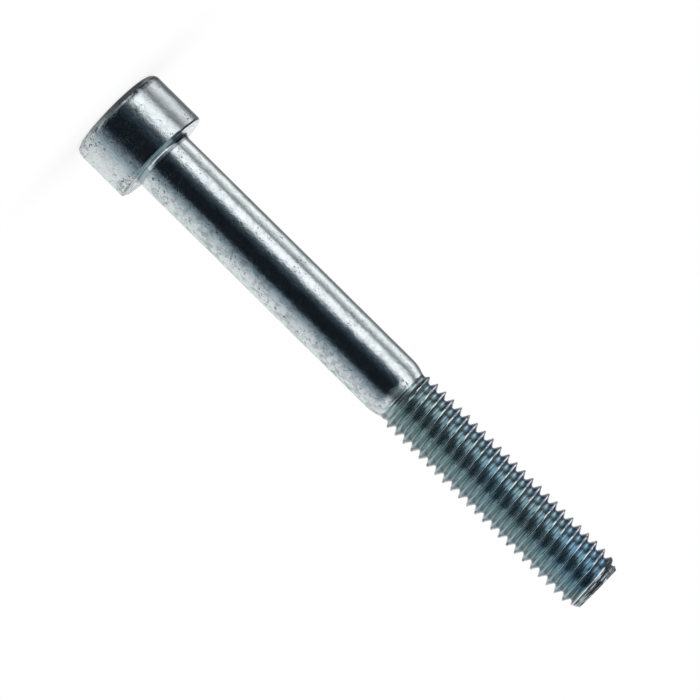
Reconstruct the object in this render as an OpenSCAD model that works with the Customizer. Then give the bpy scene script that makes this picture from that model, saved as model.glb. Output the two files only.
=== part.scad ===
// Hex socket head cap screw with a partly threaded shank, in millimetres.
// It stands on its head: the socket face lies on z = 0 and the threaded point is up.

/* [Head] */
// Diameter of the head
head_d = 9.9; // [9.4:0.05:11]
// Height of the head, from the socket face to the bearing face
head_h = 6; // [5:0.05:7]
// Height of the rounded edge round the socket face, along the axis
crown_h = 0.6; // [0.2:0.05:1]
// Width of the rounded edge round the socket face, across the axis
crown_w = 0.75; // [0.2:0.05:0.95]
// Radius of the broken edge round the bearing face
rim_r = 0.25; // [0.1:0.05:0.4]
// Width of the fillet between the bearing face and the shank, across the axis
neck_w = 0.35; // [0.1:0.05:0.5]
// Height of that fillet, along the axis
neck_h = 0.6; // [0.1:0.05:1]

/* [Socket] */
// Width of the hexagonal socket across its flats
socket_af = 5.05; // [4.5:0.05:5.3]
// Depth of the socket's flats below the socket face
socket_h = 3.2; // [2:0.1:3.6]
// Width of the bevel at the hexagon's corners in the mouth
mouth_w = 0.1; // [0.05:0.01:0.2]
// Angle between opposite sides of that bevel
mouth_a = 100; // [80:5:120]
// Angle between opposite sides of the cone in the socket's floor
floor_a = 140; // [125:5:160]
// Width of the ledge between the socket's flats and that cone
floor_ledge = 0.05; // [0.02:0.01:0.3]

/* [Shank] */
// Diameter of the plain shank
shank_d = 5.98; // [5.8:0.02:6.2]
// Length of the screw under its head
length = 55; // [45:1:90]
// Length of the taper from the plain shank down to the blank of the thread
shoulder_h = 1.05; // [0.5:0.05:2]

/* [Thread] */
// Length of the thread, from the end of the taper to the end face
thread_l = 24.5; // [10:0.5:35]
// Outer diameter of the thread
thread_d = 5.97; // [5.8:0.01:6.2]
// Distance from one crest to the next
pitch = 1; // [0.75:0.05:1.25]
// Diameter at the bottom of the groove
root_d = 4.77; // [4.6:0.01:4.9]
// Diameter of the blank from which the thread is rolled
blank_d = 5.32; // [5.2:0.02:5.5]
// Width of the flat on the crest
crest_w = 0.125; // [0.08:0.005:0.18]
// Width of the flat at the bottom of the groove
root_w = 0.17; // [0.1:0.005:0.25]
// Length over which the groove sinks from the blank to its full depth
runout_h = 1.2; // [0.5:0.1:3]
// Direction in which the crest runs out on the end face, from +X
start_a = 190; // [0:1:359]

/* [Point] */
// Length of the rounded lead at the point
point_h = 1.7; // [0.8:0.1:3]
// How far the edge of the end face lies inside the bottom of the groove
point_inset = 0.02; // [0.02:0.01:0.5]

/* [Hidden] */
// Sides of one turn of the thread
turn_steps = 36;
// Straight pieces in each rounded edge
edge_steps = 6;
// How far a cutting shape reaches past the face that it opens
cut_over = 0.5;
// How far the lower end of the thread is sunk in the taper
seat_h = 0.1;
// How far the lower end of the thread lies inside the taper's edge
seat_w = 0.01;
$fn = 96;

head_r = head_d / 2;
shank_r = shank_d / 2;
blank_r = blank_d / 2;
root_r = root_d / 2;
thread_r = thread_d / 2;
point_r = root_r - point_inset;
total_h = head_h + length;
thread_z = total_h - thread_l;
socket_r = socket_af / 2 / cos(30);

// Points of a quarter ellipse round the centre c, with half axes w and h
function quarter(c, w, h, from, to) =
    [for (k = [0 : edge_steps])
        let (a = from + (to - from) * k / edge_steps)
            c + [w * cos(a), h * sin(a)]];

// Share of its full depth that the groove has at the height z
function rolled(z) = min(1, max(0, (z - thread_z) / runout_h));

// Largest radius that the rounded lead leaves at the height z
function lead_r(z) =
    let (u = min(1, (total_h - z) / point_h))
        point_r + (thread_r - point_r) * sin(90 * u);

// A point of the thread at the angle a and the height z, where the full profile has the radius r
function thread_point(a, z, r) =
    let (zc = min(total_h, max(thread_z - seat_h, z)),
         rc = min(lead_r(zc), blank_r + rolled(zc) * (r - blank_r)))
            [rc * cos(a), rc * sin(a), zc];

// Turned blank: head, neck, plain shank and the taper down to the thread
module blank() {
    rotate_extrude()
        polygon(concat(
            [[0, 0]],
            quarter([head_r - crown_w, crown_h], crown_w, crown_h, 270, 360),
            quarter([head_r - rim_r, head_h - rim_r], rim_r, rim_r, 0, 90),
            quarter([shank_r + neck_w, head_h + neck_h], neck_w, neck_h, 270, 180),
            [[shank_r, thread_z - shoulder_h],
             [blank_r + seat_w, thread_z],
             [0, thread_z]]));
}

// Space of the hexagonal socket, with a bevelled mouth and a coned floor
module socket() {
    mouth_r = socket_r + mouth_w / 2;
    mouth_h = mouth_r / tan(mouth_a / 2);
    floor_r = socket_af / 2 - floor_ledge;
    translate([0, 0, -cut_over])
        cylinder(r = socket_r, h = socket_h + cut_over, $fn = 6);
    translate([0, 0, -cut_over])
        cylinder(r1 = mouth_r + cut_over * tan(mouth_a / 2), r2 = 0, h = mouth_h + cut_over);
    rotate_extrude()
        polygon([[0, socket_h - cut_over],
                 [floor_r, socket_h - cut_over],
                 [floor_r, socket_h],
                 [0, socket_h + floor_r / tan(floor_a / 2)]]);
}

// Right-hand thread: a band wound up the blank, with one row of points for each edge of its
// profile. Past both ends of the thread the rows run together on the end rings.
module thread() {
    flank_w = (pitch - crest_w - root_w) / 2;
    profile = [[0, thread_r],
               [crest_w, thread_r],
               [crest_w + flank_w, root_r],
               [crest_w + flank_w + root_w, root_r]];
    rows = len(profile);
    turns = ceil((thread_l + seat_h) / pitch) + 3;
    first_z = total_h - (turns - 2) * pitch - crest_w / 2;
    points = [for (i = [0 : turns * turn_steps - 1])
                  let (a = start_a + 360 * i / turn_steps,
                       z = first_z + pitch * i / turn_steps)
                      for (p = profile) thread_point(a, z + p[0], p[1])];
    // Number of the point of row j at step i; past the last row comes the first, one turn on
    function corner(i, j) = j < rows ? i * rows + j : (i + turn_steps) * rows + j - rows;
    band = [for (i = [0 : (turns - 1) * turn_steps - 2], j = [0 : rows - 1])
                let (low = corner(i, j),
                     low_next = corner(i + 1, j),
                     high = corner(i, j + 1),
                     high_next = corner(i + 1, j + 1))
                    each [[low, high_next, low_next], [low, high, high_next]]];
    lower_end = [for (i = [0 : turn_steps - 1]) corner(i, 0)];
    upper_end = [for (i = [turn_steps - 1 : -1 : 0]) corner((turns - 1) * turn_steps + i, 0)];
    polyhedron(points = points, faces = concat([lower_end], band, [upper_end]));
}

module cap_screw() {
    color("lightsteelblue")
        difference() {
            union() {
                blank();
                thread();
            }
            socket();
        }
}

cap_screw();
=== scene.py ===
"""Looks of a hex socket head cap screw, bright zinc plated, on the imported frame.

Lengths are in mm and angles in degrees, unless they are times MM or in radians. The screw stands on its
socket face, with its point up. The photo shows it from -Y, and +X is the side at the picture's lower left.
"""

import math

import bmesh
import bpy
from mathutils import Matrix, Vector, noise


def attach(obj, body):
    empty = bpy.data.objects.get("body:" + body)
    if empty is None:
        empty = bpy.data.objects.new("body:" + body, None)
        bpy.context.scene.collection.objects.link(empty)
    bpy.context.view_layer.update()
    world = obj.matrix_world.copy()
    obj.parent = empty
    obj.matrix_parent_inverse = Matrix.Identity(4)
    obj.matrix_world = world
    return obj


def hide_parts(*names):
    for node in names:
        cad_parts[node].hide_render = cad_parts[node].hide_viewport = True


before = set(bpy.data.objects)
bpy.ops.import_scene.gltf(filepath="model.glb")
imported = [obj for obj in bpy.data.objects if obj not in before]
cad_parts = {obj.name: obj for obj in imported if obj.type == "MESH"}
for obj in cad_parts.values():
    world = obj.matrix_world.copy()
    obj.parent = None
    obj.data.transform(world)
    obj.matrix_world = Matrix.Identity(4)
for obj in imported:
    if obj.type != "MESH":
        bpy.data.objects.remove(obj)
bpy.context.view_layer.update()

MM = 0.001

# Head
HEAD_D = 9.9
HEAD_H = 6.0
CROWN_W = 0.75
CROWN_WORN_H = 0.72
RIM_R = 0.25
NECK_W = 0.35
NECK_H = 0.6

# Socket
SOCKET_AF = 5.05
SOCKET_H = 3.2
MOUTH_W = 0.1
MOUTH_ANGLE = 100
FLOOR_ANGLE = 140
FLOOR_LEDGE = 0.05
CUT_OVER = 0.5

# Shank
SHANK_D = 5.98
LENGTH = 55.0
SHOULDER_H = 1.05
SHOULDER_ROUND = 0.5

# Thread
THREAD_L = 24.5
THREAD_D = 5.97
PITCH = 1.0
ROOT_D = 4.83
BLANK_D = 5.32
CREST_W = 0.125
ROOT_W = 0.16
CREST_ROUND = 0.035
ROOT_ROUND = 0.045
RUNOUT_H = 1.2
CREST_RUNOUT_H = 0.6
START_ANGLE = 190
JOIN_H = 0.04
MARK_PITCH = 0.53

# Point
POINT_H = 1.7
POINT_INSET = 0.05

# Wear of the head's two edges: height of the edge, way it is pushed along Z, depth and reach;
# and the share of that wear which the side away from +X has
EDGE_WEAR = ((0.0, 1, 0.26, 0.7), (HEAD_H, -1, 0.10, 0.5))
EVEN_WEAR = 0.06

# Wear of the thread: waves, spread, sway and dents of the crests, and the ragged end at the point
CREST_WAVES = 0.055
CREST_SPREAD = 0.015
CREST_SWAY = 0.04
DENT_DEPTH = 0.3
DENT_FROM = 0.42
RAGGED_H = 1.6
RAGGED_INWARD = 0.04
RAGGED_WAVES = 0.10

# Fineness of the meshes
TURN_STEPS = 96
ARC_STEPS = 6
CREST_STEPS = 3
ROOT_STEPS = 4
LONG_WALL = 4.5
WALL_CUTS = 18
LONG_FLANK = 0.3
FLANK_CUTS = 3
SHARP_ANGLE = 32

# Distances within which vertices are merged, lie on a cutting plane or lie level
WELD = 1e-5
WELD_TURNS = 1e-3
WELD_TRIMMED = 1e-4
WELD_CUT = 1e-3
ON_PLANE = 1e-6
LEVEL = 1e-4

HEAD_R = HEAD_D / 2
SHANK_R = SHANK_D / 2
THREAD_R = THREAD_D / 2
ROOT_R = ROOT_D / 2
BLANK_R = BLANK_D / 2
POINT_R = ROOT_R - POINT_INSET
TOTAL_H = HEAD_H + LENGTH
THREAD_Z = TOTAL_H - THREAD_L
SOCKET_R = SOCKET_AF / 2 / math.cos(math.radians(30))

# Colours of the plate; the thread's film goes from its greener to its bluer places
BRIGHT_ZINC = (0.80, 0.845, 0.86)
DULL_ZINC = (0.50, 0.55, 0.57)
BLOTCH = (0.36, 0.40, 0.41)
# Painted shade for the head's side towards -X
PAINTED_HEAD_SHADE = (0.05, 0.06, 0.065)
# Teal of the film on the head's rim, face and neck, partly painted reflection
RIM_FILM_AND_REFLECTION = (0.15, 0.26, 0.29)
# Dark navy painted shade on the rim and in the neck
PAINTED_RIM_NECK_SHADE = (0.035, 0.05, 0.085)
# Painted shade on the crown towards -X
PAINTED_CROWN_SHADE = (0.05, 0.06, 0.08)
# Painted shade on the thread's flanks towards -X
PAINTED_FLANK_SHADE = (0.11, 0.18, 0.28)
# Painted shade in the thread's groove towards +X
PAINTED_GROOVE_SHADE = (0.10, 0.14, 0.15)
DARK_MARK = (0.03, 0.04, 0.05)
LIGHT_MARK = (0.75, 0.79, 0.80)
# Painted shade on the crest tips at the outlines
PAINTED_TIP_SHADE = (0.15, 0.13, 0.13)
# Painted highlight on the thread's crests
PAINTED_CREST_HIGHLIGHT = (0.70, 0.74, 0.75)
# Painted shade in the thread's roots
PAINTED_ROOT_SHADE = (0.06, 0.09, 0.10)
LAST_TURNS = (0.16, 0.19, 0.20)
# Painted highlight on the lip past the last turn
PAINTED_LIP_HIGHLIGHT = (0.90, 0.92, 0.92)
SCORE_DARK = (0.052, 0.066, 0.078)
SCORE_LIGHT = (0.42, 0.46, 0.465)
DIRT = (0.10, 0.105, 0.11)
THREAD_FILM = (
    (0.30, (0.40, 0.510, 0.520)),
    (0.45, (0.38, 0.505, 0.540)),
    (0.55, (0.35, 0.500, 0.565)),
    (0.65, (0.32, 0.485, 0.585)),
    (0.80, (0.28, 0.430, 0.570)),
)

# Light from the studio's panels: direction in degrees, from the camera's side (0) towards +X (90),
# brightness and tint
BRIGHT, BLUE, DARK = (0.975, 1.0, 1.01), (0.83, 1.0, 1.12), (0.65, 1.05, 1.45)
LEVEL_PANELS = (
    (-180, 1.00, BRIGHT), (-173, 0.80, BRIGHT), (-165, 0.36, BRIGHT), (-150, 0.18, BRIGHT),
    (-140, 0.23, BRIGHT), (-133, 0.42, BRIGHT), (-124, 0.92, BRIGHT), (-116, 1.17, BRIGHT),
    (-108, 1.08, BRIGHT), (-95, 0.64, BRIGHT), (-84, 0.31, BRIGHT), (-79, 0.31, BRIGHT),
    (-74, 0.82, BRIGHT), (-68, 1.09, BRIGHT), (-58, 1.19, BRIGHT), (-49, 1.17, BRIGHT),
    (-42, 0.76, BRIGHT), (-35, 0.27, BLUE), (-29, 0.09, BLUE), (-20, 0.045, DARK),
    (-5, 0.010, DARK), (30, 0.010, DARK), (40, 0.028, DARK), (48, 0.19, BLUE),
    (60, 0.31, BLUE), (70, 0.49, BLUE), (84, 0.66, BRIGHT), (100, 0.78, BRIGHT),
    (120, 0.84, BRIGHT), (180, 0.84, BRIGHT),
)
RAISED_PANELS = (
    (-180, 0.10, BRIGHT), (-110, 0.09, BRIGHT), (-96, 0.09, BRIGHT), (-86, 0.27, BRIGHT),
    (-76, 1.10, BRIGHT), (-66, 1.50, BRIGHT), (-56, 1.30, BRIGHT), (-45, 1.25, BRIGHT),
    (-34, 1.00, BRIGHT), (-25, 0.46, BLUE), (-12, 0.29, BLUE), (0, 0.18, BLUE),
    (28, 0.13, BLUE), (36, 0.32, BLUE), (47, 0.66, BRIGHT), (58, 0.96, BRIGHT),
    (70, 0.84, BRIGHT), (130, 0.78, BRIGHT), (180, 0.10, BRIGHT),
)
SUNKEN_PANELS = (
    (-180, 0.20, BRIGHT), (-134, 0.25, BRIGHT), (-119, 0.55, BRIGHT), (-107, 0.52, BRIGHT),
    (-96, 0.28, BRIGHT), (-85, 0.22, BRIGHT), (-74, 0.52, BRIGHT), (-62, 0.78, BRIGHT),
    (-50, 0.78, BRIGHT), (-41, 1.02, BRIGHT), (-31, 0.66, BLUE), (-21, 0.32, BLUE),
    (-10, 0.26, BLUE), (0, 0.17, BLUE), (18, 0.13, BLUE), (40, 0.31, BLUE),
    (50, 0.60, BLUE), (61, 0.78, BLUE), (71, 0.68, BRIGHT), (90, 0.66, BRIGHT),
    (180, 0.66, BRIGHT),
)
WHITE = (1.0, 1.0, 1.0)

# Light from below: for the most part, towards +X, and towards +X on the far side
BELOW = (0.080, 0.085, 0.090)
BELOW_X = (0.42, 0.43, 0.43)
BELOW_FAR_X = (0.85, 0.85, 0.85)

# Floor: it lies a little lower than the screw, and fades into white between two distances from the axis
FLOOR_R = 1500
FLOOR_SIDES = 96
FLOOR_GAP = 0.02
FADE_FROM = 6
FADE_TO = 16
FLOOR_SHADE = (0.94, 0.94, 0.94, 1.0)

# Camera, fitted to the photo
CAMERA_AWAY = 406.0
CAMERA_H = 51.0
AIM = Vector((0.38, 0, 30.215))
LEAN = 44.65
PIXELS_PER_MM = 11.16
PICTURE_PIXELS = 700.0
SENSOR_W = 36.0
CLIP_START = 10
CLIP_END = 10000

AXIS = Vector((0, 0, 1))
ORIGIN = Vector((0, 0, 0))


# Modelling

def wire(bm, points):
    """An open line through points given as (distance from the axis, height). Returns its vertices."""
    verts = [bm.verts.new((r, 0, z)) for r, z in points]
    for a, b in zip(verts, verts[1:]):
        bm.edges.new((a, b))
    return verts


def bevel_corner(bm, vert, width, steps):
    """Rounds a corner of a wire."""
    bmesh.ops.bevel(
        bm, geom=[vert], offset=width, segments=steps, profile=0.5, material=-1, affect="VERTICES",
    )


def round_corner(bm, vert, width, height):
    """Turns a corner of a wire into a quarter ellipse, width across the axis and height along it."""
    bmesh.ops.scale(bm, vec=Vector((1, 1, width / height)), verts=bm.verts)
    bevel_corner(bm, vert, width, ARC_STEPS)
    bmesh.ops.scale(bm, vec=Vector((1, 1, height / width)), verts=bm.verts)


def turn(bm):
    """Spins every edge of the wire a full turn round the axis."""
    bmesh.ops.spin(
        bm, geom=list(bm.verts) + list(bm.edges), cent=ORIGIN, axis=AXIS,
        angle=math.tau, steps=TURN_STEPS, use_merge=True,
    )
    bmesh.ops.remove_doubles(bm, verts=bm.verts, dist=WELD)


def ring(bm, z):
    """Open edges that lie at the height z."""
    return [e for e in bm.edges if e.is_boundary and all(abs(v.co.z - z) < LEVEL for v in e.verts)]


def rolled(z, runout):
    """Share of its full size that the thread has at the height z, when it forms over this length."""
    return min(1, max(0, (z - THREAD_Z) / runout))


def lead_r(z):
    """Largest radius that the rounded lead leaves at the height z."""
    share = min(1, (TOTAL_H - z) / POINT_H)
    return POINT_R + (THREAD_R - POINT_R) * math.sin(math.radians(90) * share)


def turned_blank(bm):
    """Head, neck, plain shank and taper, open at the top just below the thread's start."""
    verts = wire(bm, [
        (0, 0),
        (HEAD_R, 0),
        (HEAD_R, HEAD_H),
        (SHANK_R, HEAD_H),
        (SHANK_R, THREAD_Z - SHOULDER_H),
        (BLANK_R, THREAD_Z - JOIN_H),
    ])
    crown, rim, neck, shoulder = verts[1:5]
    round_corner(bm, crown, CROWN_W, CROWN_WORN_H)
    round_corner(bm, rim, RIM_R, RIM_R)
    round_corner(bm, neck, NECK_W, NECK_H)
    round_corner(bm, shoulder, SHOULDER_ROUND, SHOULDER_ROUND)
    walls = [e for e in bm.edges if e.calc_length() > LONG_WALL]
    bmesh.ops.subdivide_edges(bm, edges=walls, cuts=WALL_CUTS)
    turn(bm)


def thread_profile(bm, z, root_z):
    """One pitch of the thread's profile, from the middle of a crest at the height z to the next."""
    verts = wire(bm, [
        (THREAD_R, z + CREST_W / 2),
        (THREAD_R, z + CREST_W),
        (ROOT_R, root_z),
        (ROOT_R, root_z + ROOT_W),
        (THREAD_R, z + PITCH),
        (THREAD_R, z + PITCH + CREST_W / 2),
    ])
    for v in (verts[1], verts[4]):
        bevel_corner(bm, v, CREST_ROUND, CREST_STEPS)
    for v in (verts[2], verts[3]):
        bevel_corner(bm, v, ROOT_ROUND, ROOT_STEPS)
    flanks = [e for e in bm.edges if e.calc_length() > LONG_FLANK]
    bmesh.ops.subdivide_edges(bm, edges=flanks, cuts=FLANK_CUTS)


def thread_band(bm):
    """The thread: its profile swept up the helix, trimmed at both ends, with its run-out and lead."""
    turns = math.ceil(THREAD_L / PITCH) + 3
    first_z = TOTAL_H - (turns - 2) * PITCH - CREST_W / 2
    thread_profile(bm, first_z, first_z + CREST_W + (PITCH - CREST_W - ROOT_W) / 2)
    bmesh.ops.spin(
        bm, geom=list(bm.verts) + list(bm.edges), cent=ORIGIN, axis=AXIS,
        dvec=AXIS * (PITCH / TURN_STEPS), angle=math.tau, steps=TURN_STEPS,
    )
    one_turn = list(bm.verts) + list(bm.edges) + list(bm.faces)
    for turn_number in range(1, turns):
        made = bmesh.ops.duplicate(bm, geom=one_turn)["geom"]
        verts = [v for v in made if isinstance(v, bmesh.types.BMVert)]
        bmesh.ops.translate(bm, vec=AXIS * (PITCH * turn_number), verts=verts)
    bmesh.ops.remove_doubles(bm, verts=bm.verts, dist=WELD_TURNS)
    for z, side in ((THREAD_Z, -1), (TOTAL_H, 1)):
        bmesh.ops.bisect_plane(
            bm, geom=list(bm.verts) + list(bm.edges) + list(bm.faces), dist=ON_PLANE,
            plane_co=Vector((0, 0, z)), plane_no=AXIS * side, clear_outer=True,
        )
    for v in bm.verts:
        r = math.hypot(v.co.x, v.co.y)
        runout = CREST_RUNOUT_H if r > BLANK_R else RUNOUT_H
        new_r = min(lead_r(v.co.z), BLANK_R + rolled(v.co.z, runout) * (r - BLANK_R))
        v.co.x *= new_r / r
        v.co.y *= new_r / r
    bmesh.ops.remove_doubles(bm, verts=bm.verts, dist=WELD_TRIMMED)


def draw_in(vert, depth):
    """Moves a vertex towards the axis."""
    r = math.hypot(vert.co.x, vert.co.y)
    vert.co.x -= depth * vert.co.x / r
    vert.co.y -= depth * vert.co.y / r


def wear_head(bm):
    """Knocks the edges of the head round and uneven, most of all towards +X."""
    for v in bm.verts:
        r = math.hypot(v.co.x, v.co.y)
        if r < 1.0 or v.co.z > HEAD_H + 0.1:
            continue
        toward = max(0.0, v.co.x / r)
        worn = EVEN_WEAR + (1 - EVEN_WEAR) * toward ** 2
        uneven = max(0.0, 0.5 + noise.fractal(v.co * 1.3, 0.6, 2.0, 5))
        for corner, side, depth, reach in EDGE_WEAR:
            near = max(0.0, 1 - math.hypot(r - HEAD_R, v.co.z - corner) / reach)
            push = depth * worn * uneven * near ** 1.5
            draw_in(v, 0.5 * push)
            v.co.z += side * push


def wear_thread(bm):
    """Small unevenness of the crests, and the ragged last turn that rolling leaves at the point."""
    for v in bm.verts:
        if v.co.z < THREAD_Z + 0.3 or v.co.z > TOTAL_H - 0.02:
            continue
        r = math.hypot(v.co.x, v.co.y)
        crest = max(0.0, (r - ROOT_R) / (THREAD_R - ROOT_R)) ** 3
        end = max(0.0, 1 - (TOTAL_H - v.co.z) / RAGGED_H)
        waves = noise.noise(v.co * 2.6)
        dents = max(0.0, noise.noise(v.co * 0.9 + Vector((3, 1, 7))) - DENT_FROM)
        inward = crest * (CREST_WAVES * waves - CREST_SPREAD)
        inward += end * (RAGGED_INWARD - RAGGED_WAVES * waves)
        inward += DENT_DEPTH * crest * dents
        draw_in(v, inward)
        v.co.z += CREST_SWAY * crest * noise.noise(v.co * 1.6 + Vector((9, 9, 9)))


def as_object(bm, name):
    """A mesh object from a mesh in mm, with its place in its vertices."""
    bmesh.ops.scale(bm, vec=Vector((MM, MM, MM)), verts=bm.verts)
    mesh = bpy.data.meshes.new(name)
    bm.to_mesh(mesh)
    bm.free()
    piece = bpy.data.objects.new(name, mesh)
    bpy.context.scene.collection.objects.link(piece)
    return piece


def cone(bottom_r, top_r, height, sides):
    """A closed cone or prism, from CUT_OVER below the socket face up to the height."""
    bm = bmesh.new()
    bmesh.ops.create_cone(
        bm, cap_ends=True, segments=sides, radius1=bottom_r, radius2=top_r, depth=height + CUT_OVER,
        matrix=Matrix.Translation((0, 0, (height - CUT_OVER) / 2)),
    )
    return bm


def socket_cutters():
    """Space of the hexagonal socket: flats, bevelled mouth and coned floor."""
    mouth_r = SOCKET_R + MOUTH_W / 2
    slope = math.tan(math.radians(MOUTH_ANGLE / 2))
    floor_r = SOCKET_AF / 2 - FLOOR_LEDGE
    cone_h = floor_r / math.tan(math.radians(FLOOR_ANGLE / 2))
    drill = bmesh.new()
    wire(drill, [
        (0, SOCKET_H - CUT_OVER),
        (floor_r, SOCKET_H - CUT_OVER),
        (floor_r, SOCKET_H),
        (0, SOCKET_H + cone_h),
    ])
    turn(drill)
    shapes = {
        "hexagon": cone(SOCKET_R, SOCKET_R, SOCKET_H, 6),
        "mouth": cone(mouth_r + CUT_OVER * slope, 0, mouth_r / slope, TURN_STEPS),
        "drill": drill,
    }
    for bm in shapes.values():
        bmesh.ops.recalc_face_normals(bm, faces=bm.faces)
    return [as_object(bm, name) for name, bm in shapes.items()]


def cut_away(piece, cutters):
    """Takes the cutters' space out of the piece and removes the cutters."""
    for cutter in cutters:
        cut = piece.modifiers.new("cut", "BOOLEAN")
        cut.operation = "DIFFERENCE"
        cut.solver = "EXACT"
        cut.object = cutter
    view = bpy.context.evaluated_depsgraph_get()
    mesh = bpy.data.meshes.new_from_object(piece.evaluated_get(view))
    piece.modifiers.clear()
    for cutter in cutters:
        bpy.data.objects.remove(cutter)
    bm = bmesh.new()
    bm.from_mesh(mesh)
    bmesh.ops.remove_doubles(bm, verts=bm.verts, dist=WELD_CUT * MM)
    bmesh.ops.recalc_face_normals(bm, faces=bm.faces)
    bm.to_mesh(mesh)
    bm.free()
    piece.data = mesh


def cap_screw():
    """The whole screw as one closed mesh: blank and thread joined, worn, and the socket cut."""
    bm = bmesh.new()
    turned_blank(bm)
    thread = bmesh.new()
    thread_band(thread)
    part = bpy.data.meshes.new("thread")
    thread.to_mesh(part)
    thread.free()
    bm.from_mesh(part)
    bpy.data.meshes.remove(part)
    bmesh.ops.bridge_loops(bm, edges=ring(bm, THREAD_Z - JOIN_H) + ring(bm, THREAD_Z))
    bmesh.ops.holes_fill(bm, edges=ring(bm, TOTAL_H))
    to_start = Matrix.Rotation(math.radians(START_ANGLE), 3, "Z")
    bmesh.ops.rotate(bm, cent=ORIGIN, matrix=to_start, verts=bm.verts)
    bmesh.ops.recalc_face_normals(bm, faces=bm.faces)
    wear_head(bm)
    wear_thread(bm)
    piece = as_object(bm, "zinc_cap_screw")
    cut_away(piece, socket_cutters())
    piece.data.shade_smooth()
    piece.data.set_sharp_from_angle(angle=math.radians(SHARP_ANGLE))
    shading = piece.modifiers.new("even shading", "WEIGHTED_NORMAL")
    shading.keep_sharp = True
    return piece


# Materials

class Value:
    """A socket whose value varies over the surface; sums and products of it add Math nodes."""

    def __init__(self, recipe, socket):
        self.recipe = recipe
        self.socket = socket

    def __add__(self, other):
        return self.recipe.maths("ADD", self, other)

    def __radd__(self, other):
        return self.recipe.maths("ADD", other, self)

    def __sub__(self, other):
        return self.recipe.maths("SUBTRACT", self, other)

    def __rsub__(self, other):
        return self.recipe.maths("SUBTRACT", other, self)

    def __mul__(self, other):
        return self.recipe.maths("MULTIPLY", self, other)

    def __rmul__(self, other):
        return self.recipe.maths("MULTIPLY", other, self)

    def __truediv__(self, other):
        return self.recipe.maths("DIVIDE", self, other)

    def __pow__(self, other):
        return self.recipe.maths("POWER", self, other)

    def __neg__(self):
        return self * -1.0

    def __abs__(self):
        return self.recipe.maths("ABSOLUTE", self)

    def step(self, start, end, low=0.0, high=1.0):
        """Low before start, high past end, and a smooth way between them."""
        return self.recipe.node(
            "ShaderNodeMapRange",
            {"Value": self, "From Min": start, "From Max": end, "To Min": low, "To Max": high},
            interpolation_type="SMOOTHSTEP",
        )

    def fall(self, start, end):
        """1 before start, 0 past end, and a smooth fall between them."""
        return self.step(start, end, 1.0, 0.0)


class Recipe:
    """The nodes of one material or of the world."""

    def __init__(self, owner):
        owner.use_nodes = True
        self.tree = owner.node_tree
        self.tree.nodes.clear()

    def node(self, kind, sockets=None, out=0, stops=None, **settings):
        """Adds a node, sets its settings, then its sockets' values or links, and returns one output."""
        made = self.tree.nodes.new(kind)
        for name, setting in settings.items():
            setattr(made, name, setting)
        if stops:
            ramp = made.color_ramp
            while len(ramp.elements) < len(stops):
                ramp.elements.new(1.0)
            for element, (place, colour) in zip(ramp.elements, stops):
                element.position = place
                element.color = (*colour, 1.0)
        for name, value in (sockets or {}).items():
            target = made.inputs[name]
            if isinstance(value, Value):
                self.tree.links.new(value.socket, target)
            else:
                target.default_value = value
        return Value(self, made.outputs[out]) if made.outputs else made

    def maths(self, operation, *values):
        """A Math node on one or two values."""
        return self.node("ShaderNodeMath", dict(enumerate(values)), operation=operation)

    def split(self, vector):
        """The three values of a vector."""
        parts = self.node("ShaderNodeSeparateXYZ", {0: vector}).socket.node
        return [Value(self, part) for part in parts.outputs]

    def mix(self, share, first, second):
        """First where share is 0 and second where it is 1; each is a Value or an RGB colour."""
        first, second = (c if isinstance(c, Value) else (*c, 1.0) for c in (first, second))
        return self.node(
            "ShaderNodeMix", {0: share, 6: first, 7: second}, out=2, data_type="RGBA", clamp_factor=True,
        )

    def paint(self, ground, layers):
        """The ground colour with layers of (share, colour) over it, the last one on top."""
        for share, colour in layers:
            ground = self.mix(share, ground, colour)
        return ground


class Plate(Recipe):
    """The plate's nodes, with the place on the screw in mm and the noise that several looks share."""

    def __init__(self, material):
        super().__init__(material)
        metres = self.node("ShaderNodeTexCoord", out="Object")
        self.place = self.node("ShaderNodeMapping", {"Vector": metres, "Scale": (1 / MM,) * 3})
        self.x, self.y, self.z = self.split(self.place)
        self.radius = (self.x * self.x + self.y * self.y) ** 0.5
        self.patches = self.clouds(0.35, 4.0, 0.65, 0.6, 1.0)
        self.worn_side = self.x.step(-2.0, 2.5)
        self.thread = (self.z + 0.3 * (self.patches - 0.5)).step(THREAD_Z - 0.17, THREAD_Z - 0.05)

    def clouds(self, size, detail, rough, bend, seed):
        """Noise between 0 and 1 whose patches are about size mm across."""
        return self.node(
            "ShaderNodeTexNoise",
            {
                "Vector": self.place,
                "W": seed,
                "Scale": 0.5 / size,
                "Detail": detail,
                "Roughness": rough,
                "Distortion": bend,
            },
            noise_dimensions="4D",
        )

    def streaks(self, squash, scale, detail, bend, turned=(0.0, 0.0, 0.0)):
        """Noise drawn out along the axes that squash makes small."""
        lie = self.node("ShaderNodeMapping", {"Vector": self.place, "Rotation": turned, "Scale": squash})
        return self.node(
            "ShaderNodeTexNoise", {"Vector": lie, "Scale": scale, "Detail": detail, "Distortion": bend},
        )


def pits_on(p):
    """Small dark spots in clusters, more of them on the worn side and on the head's edges."""
    x, z = p.x, p.z
    edges = z.step(0.05, 0.3) * z.fall(0.8, 1.6) * x.step(0.0, 3.0, 0.3, 1.3)
    edges = edges + z.step(5.0, 5.6) * (x.step(1.5, 3.5) + 0.8 * x.fall(-4.0, -3.2))
    edges = edges * z.fall(6.1, 6.6)
    spots = p.clouds(0.15, 4.0, 0.65, 0.8, 3.0) + 0.03 * edges
    here = p.clouds(1.0, 3.0, 0.6, 0.5, 4.0) + 0.05 * p.worn_side + 0.14 * edges
    fewer = 1 - 0.7 * z.step(THREAD_Z - 0.3, THREAD_Z + 0.4)
    return spots.step(0.56, 0.63) * here.step(0.48, 0.57) * fewer


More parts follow.
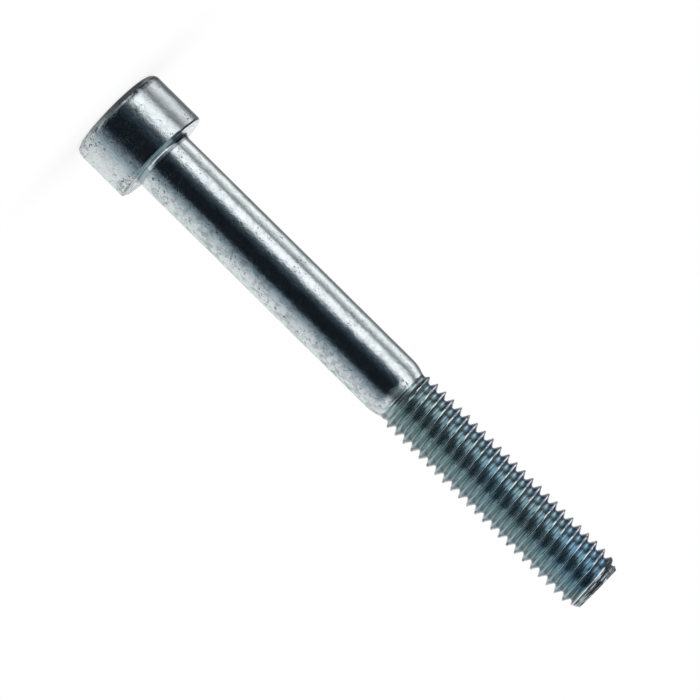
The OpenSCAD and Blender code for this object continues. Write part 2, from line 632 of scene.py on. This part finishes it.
def dirt_on(p, pits):
    """Dirt in the pits, in the knocked corners of the head and in strokes left by tumbling."""
    x, z = p.x, p.z
    knocked = x.step(2.6, 4.0) * (z.fall(0.5, 1.7) + z.step(4.6, 5.4) * z.fall(6.1, 6.2))
    knocked = knocked * p.clouds(0.22, 4.0, 0.7, 0.5, 7.0).step(0.49, 0.57)
    hairs = p.streaks((1.0, 1.0, 0.25), 3.2, 1.0, 1.2, turned=(0.4, 0.7, 0.3))
    strokes = abs(hairs - 0.5).fall(0.0, 0.012)
    strokes = strokes * p.clouds(1.1, 2.0, 0.5, 0.0, 6.0).step(0.54, 0.64)
    return pits + 0.5 * strokes * (1 - p.thread) + 0.6 * knocked


def bare_zinc(p, dull):
    """Colour of the head and shank: bright, dull and blotched where worn; on the head, painted shade towards
    -X and painted light on the +X side, where the dull and blotched patches are thinned.
    """
    x, z = p.x, p.z
    # Painted light: the head's +X side is made lighter by thinning its dull and blotched patches.
    painted_light_on_head = 1 - 0.6 * z.fall(HEAD_H - 0.3, HEAD_H) * x.step(2.2, 2.8)
    blotch = p.clouds(0.7, 5.0, 0.62, 1.0, 9.0).step(0.45, 0.62) * (0.5 + 0.5 * p.worn_side) * painted_light_on_head
    # Painted shade: the head's side towards -X is mixed a quarter of the way to a dark colour.
    shaded = z.fall(HEAD_H - 0.1, HEAD_H) * x.step(-3.6, -2.2, 0.25, 0.0)
    return p.paint(BRIGHT_ZINC, [
        (dull * painted_light_on_head, DULL_ZINC),
        (0.35 * blotch, BLOTCH),
        (shaded, PAINTED_HEAD_SHADE),
    ])


def head_film_and_painted_light(p):
    """Teal film on the rim of the bearing face, on the face and in the neck, partly painted reflection;
    painted shade on the rim and in the neck, and on the crown by the socket face towards -X.

    Returns the share of the surface that has the teal film and painted reflection, and the layers.
    """
    x, z = p.x, p.z
    by_head = z.fall(HEAD_H + 0.4, HEAD_H + 0.6)
    rim = z.step(HEAD_H - RIM_R, HEAD_H - RIM_R + 0.05) * p.radius.step(HEAD_R - RIM_R - 0.05, HEAD_R - RIM_R)
    edge = rim * z.step(HEAD_H - 0.17, HEAD_H - 0.12) * z.fall(HEAD_H - 0.04, HEAD_H - 0.02)
    flat = z.step(HEAD_H - 0.04, HEAD_H - 0.01) * x.step(-3.3, -2.9) * x.fall(2.9, 3.3)
    flat = flat * z.fall(HEAD_H + 0.02, HEAD_H + 0.04)
    neck = z.step(HEAD_H + 0.02, HEAD_H + 0.04) * by_head
    # Teal film on the rim, the bearing face and the neck, partly painted reflection.
    film_and_reflection = (rim * by_head + flat) * x.fall(2.4, 3.4) * x.step(-3.2, -2.4)
    film_and_reflection = film_and_reflection + 0.6 * neck * x.step(1.2, 2.2)
    # Painted shade: dark navy on the rim's bevel and face towards -X, and in the neck's crease away from +X.
    rim_neck_shade = 0.8 * edge + 0.8 * rim * x.step(-3.0, -2.6) + flat
    rim_neck_shade = (rim_neck_shade + neck * z.fall(HEAD_H + 0.15, HEAD_H + 0.35)) * by_head * x.fall(-2.05, -1.65)
    rim_neck_shade = rim_neck_shade + 0.8 * z.step(HEAD_H + 0.12, HEAD_H + 0.18) * by_head * x.fall(0.9, 1.7)
    # Painted shade: a patchy dark band on the crown towards -X.
    crown_shade = z.step(0.40, 0.55) * z.fall(0.75, 1.10) * x.fall(-1.8, -1.2)
    crown_shade = crown_shade * (0.5 + p.patches.step(0.40, 0.55, 0.0, 0.5))
    return film_and_reflection, [(film_and_reflection, RIM_FILM_AND_REFLECTION), (0.8 * rim_neck_shade, PAINTED_RIM_NECK_SHADE), (crown_shade, PAINTED_CROWN_SHADE)]


def marks_on_thread(p):
    """Close dark and light rings in turn where the thread starts: strong towards -X, faint towards +X and
    none between.
    """
    start = p.z - 0.03 * p.x - THREAD_Z - 0.2
    waves = p.maths("SINE", start * (math.tau / MARK_PITCH))
    marked = start.step(-0.32, -0.22) * start.fall(0.75, 0.95)
    marked = marked * (p.x.fall(-1.4, -0.8) + p.x.step(1.0, 1.8, 0.0, 0.35))
    return [
        (0.75 * marked * waves.step(-0.2, -0.7), DARK_MARK),
        (0.60 * marked * waves.step(0.65, 0.95), LIGHT_MARK),
    ]


def thread_marks_and_painted_light(p):
    """Painted highlight on the crests towards -X, and painted shade on the crest tips at the outlines, on the
    flanks towards -X, in the groove towards +X and in the roots away from -X.

    Returns the share of the surface that has the painted crest highlight, and the layers.
    """
    x, radius, thread = p.x, p.radius, p.thread
    crest = radius.step(THREAD_R - 0.050, THREAD_R - 0.025) * thread
    # Painted highlight: pale crests, strongest towards -X.
    crest_highlight = crest * (0.9 * x.fall(-1.6, -0.8) + x.step(0.4, 1.2, 0.22, 0.0))
    outer = x.fall(-2.85, -2.7) + x.step(2.6, 2.75)
    # Painted shade: dark crest tips where the crests form the outlines, at both sides.
    tip_shade = radius.step(THREAD_R - 0.13, THREAD_R - 0.05) * thread * outer * p.patches.step(0.38, 0.52)
    # Painted shade: the roots are darkened, except towards -X.
    root = radius.step(ROOT_R + 0.02, ROOT_R + 0.08, 0.35, 0.0) * thread * x.step(-1.9, -1.5)
    flank = radius.step(ROOT_R + 0.03, ROOT_R + 0.10) * radius.fall(THREAD_R - 0.10, THREAD_R - 0.05)
    # Painted shade: navy on the flanks towards -X.
    flank_shade = flank * thread * x.fall(-2.1, -1.8)
    # Painted shade: darker groove towards +X.
    groove_shade = thread * radius.fall(THREAD_R - 0.30, THREAD_R - 0.15) * x.step(2.05, 2.35)
    return crest_highlight, [
        (0.75 * flank_shade, PAINTED_FLANK_SHADE),
        (0.6 * groove_shade, PAINTED_GROOVE_SHADE),
        *marks_on_thread(p),
        (tip_shade, PAINTED_TIP_SHADE),
        (crest_highlight, PAINTED_CREST_HIGHLIGHT),
        (root, PAINTED_ROOT_SHADE),
    ]


def point_wear_and_painted_highlight(p):
    """Past the last turn a rolled lip has a painted highlight, and the lead beyond it is scored and grimy.

    Returns the shares of the surface that are lip highlight and lead, and the layers.
    """
    x = p.x
    lip_z = p.z - 0.065 * x + 0.06 * p.patches
    # Painted highlight: a pale, less metallic band on the lip past the last turn.
    lip = lip_z.step(TOTAL_H - 0.82, TOTAL_H - 0.79) * lip_z.fall(TOTAL_H - 0.74, TOTAL_H - 0.71)
    lip = lip * x.step(-1.9, -1.7)
    beyond = lip_z.step(TOTAL_H - 0.73, TOTAL_H - 0.69) * p.radius.step(1.9, 2.2, 0.2, 1.0)
    scores = p.streaks((0.35, 0.35, 3.0), 2.0, 3.0, 0.6)
    scores = (scores + 0.05 * x.fall(-1.0, -0.4) + 0.09 * x.step(0.6, 2.2)).step(0.53, 0.60)
    return lip, beyond, [
        (0.5 * p.z.step(TOTAL_H - 1.6, TOTAL_H - 1.0), LAST_TURNS),
        (lip, PAINTED_LIP_HIGHLIGHT),
        (0.9 * beyond, p.mix(scores, SCORE_DARK, SCORE_LIGHT)),
    ]


def zinc_plate():
    """Bright zinc with a blue passivate: pale on the worn head and shank, teal where the film is whole; with
    painted shade, reflection and highlights in places.
    """
    material = bpy.data.materials.new("zinc_plate")
    p = Plate(material)
    swell = p.clouds(1.2, 2.0, 0.5, 0.3, 0.0)
    grain = p.clouds(0.12, 3.0, 0.6, 0.0, 2.0)
    dull = p.patches.step(0.46, 0.62) * (0.35 + 0.65 * p.worn_side)
    pits = pits_on(p)

    hue = p.clouds(5.0, 2.0, 0.5, 0.5, 5.0) + (p.z - 50.0) * 0.014 - 0.12 * p.x.step(0.0, 2.0)
    film = p.node("ShaderNodeValToRGB", {"Fac": hue}, stops=THREAD_FILM)
    film_and_reflection, head_layers = head_film_and_painted_light(p)
    crest_highlight, thread_layers = thread_marks_and_painted_light(p)
    lip, beyond, point_layers = point_wear_and_painted_highlight(p)
    plate = p.mix(p.thread, bare_zinc(p, dull), film)
    plate = p.paint(plate, head_layers + thread_layers + point_layers)
    colour = p.mix(0.85 * dirt_on(p, pits), plate, DIRT)

    smooth = 1 - 0.6 * p.thread
    height = 0.045 * swell * smooth + 0.030 * p.patches * smooth + 0.002 * grain - 0.002 * pits
    bump = p.node("ShaderNodeBump", {"Height": height, "Strength": 1.0, "Distance": 0.001})
    # Metallic is lowered on the thread and the scored lead, and where the painted crest and lip highlights
    # and the teal film with painted reflection lie.
    dulled = 0.03 * p.thread + 0.04 * crest_highlight + 0.5 * lip + 0.5 * film_and_reflection + 0.2 * beyond
    shader = p.node("ShaderNodeBsdfPrincipled", {
        "Base Color": colour,
        "Metallic": 1.0 - dulled,
        "Roughness": 0.065 + 0.04 * grain + 0.10 * dull + 0.12 * pits,
        "Normal": bump,
    })
    p.node("ShaderNodeOutputMaterial", {"Surface": shader})
    return material


# Studio

def studio_floor():
    """A pale floor under the head that fades into the white backdrop; seen from below it is clear."""
    bm = bmesh.new()
    low = Matrix.Translation((0, 0, -FLOOR_GAP))
    bmesh.ops.create_circle(bm, cap_ends=True, segments=FLOOR_SIDES, radius=FLOOR_R, matrix=low)
    floor = as_object(bm, "floor")
    material = bpy.data.materials.new("pale_floor")
    m = Recipe(material)
    place = m.node("ShaderNodeTexCoord", out="Object")
    away = m.node("ShaderNodeVectorMath", {0: place}, out="Value", operation="LENGTH")
    seen = m.node("ShaderNodeLightPath", out="Is Camera Ray")
    fading = seen * (0.80 + 0.20 * away.step(FADE_FROM * MM, FADE_TO * MM))
    matt = m.node("ShaderNodeBsdfDiffuse", {"Color": FLOOR_SHADE})
    white = m.node("ShaderNodeEmission", {"Color": (*WHITE, 1.0), "Strength": 1.0})
    above = m.node("ShaderNodeMixShader", {0: fading, 1: matt, 2: white})
    under = m.node("ShaderNodeNewGeometry", out="Backfacing")
    clear = m.node("ShaderNodeBsdfTransparent")
    both = m.node("ShaderNodeMixShader", {0: under, 1: above, 2: clear})
    m.node("ShaderNodeOutputMaterial", {"Surface": both})
    floor.data.materials.append(material)
    floor.visible_glossy = False


def studio_light():
    """Soft light from large panels round the object, with a dark side where the camera stands."""
    world = bpy.data.worlds.new("studio")
    bpy.context.scene.world = world
    w = Recipe(world)
    x, y, z = w.split(w.node("ShaderNodeTexCoord", out="Generated"))
    turned = w.maths("ARCTAN2", x, -y) / math.tau + 0.5

    def round_the_object(panels):
        stops = [(angle / 360 + 0.5, tuple(light * t for t in tint)) for angle, light, tint in panels]
        return w.node("ShaderNodeValToRGB", {"Fac": turned}, stops=stops)

    low = w.mix(x.step(-0.2, 0.9), BELOW, BELOW_X)
    low = w.mix(x.step(0.2, 0.7) * y.step(0.1, 0.6), low, BELOW_FAR_X)
    all_round = w.paint(round_the_object(LEVEL_PANELS), [
        (z.step(0.22, 0.48), round_the_object(RAISED_PANELS)),
        ((-z).step(0.22, 0.42), round_the_object(SUNKEN_PANELS)),
        (z.step(0.93, 0.98), WHITE),
        ((-z).step(0.55, 0.68), low),
    ])
    mirrored = w.node("ShaderNodeLightPath", out="Is Glossy Ray")
    light = w.node("ShaderNodeBackground", {"Color": w.mix(mirrored, WHITE, all_round), "Strength": 1.0})
    w.node("ShaderNodeOutputWorld", {"Surface": light})


def camera():
    """The photograph's view: nearly level, from -Y, and rolled so that the point is at the lower right."""
    eye = Vector((0, -CAMERA_AWAY, CAMERA_H))
    lean = math.radians(LEAN)
    data = bpy.data.cameras.new("camera")
    data.sensor_width = SENSOR_W
    data.lens = PIXELS_PER_MM * CAMERA_AWAY * SENSOR_W / PICTURE_PIXELS
    data.clip_start = CLIP_START * MM
    data.clip_end = CLIP_END * MM
    back = (eye - AIM).normalized()
    along = (AXIS - back * back.dot(AXIS)).normalized()
    across = along.cross(back)
    right = along * math.cos(lean) - across * math.sin(lean)
    up = along * -math.sin(lean) - across * math.cos(lean)
    turned = Matrix((right, up, back)).transposed()
    scene_camera = bpy.data.objects.new("camera", data)
    scene_camera.matrix_world = Matrix.Translation(eye * MM) @ turned.to_4x4()
    bpy.context.scene.collection.objects.link(scene_camera)
    bpy.context.scene.camera = scene_camera


screw = cap_screw()
screw.data.materials.clear()
screw.data.materials.append(zinc_plate())
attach(screw, "root")
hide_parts("cap_screw")

studio_floor()
studio_light()
camera()
bpy.context.scene.view_settings.view_transform = "Standard"
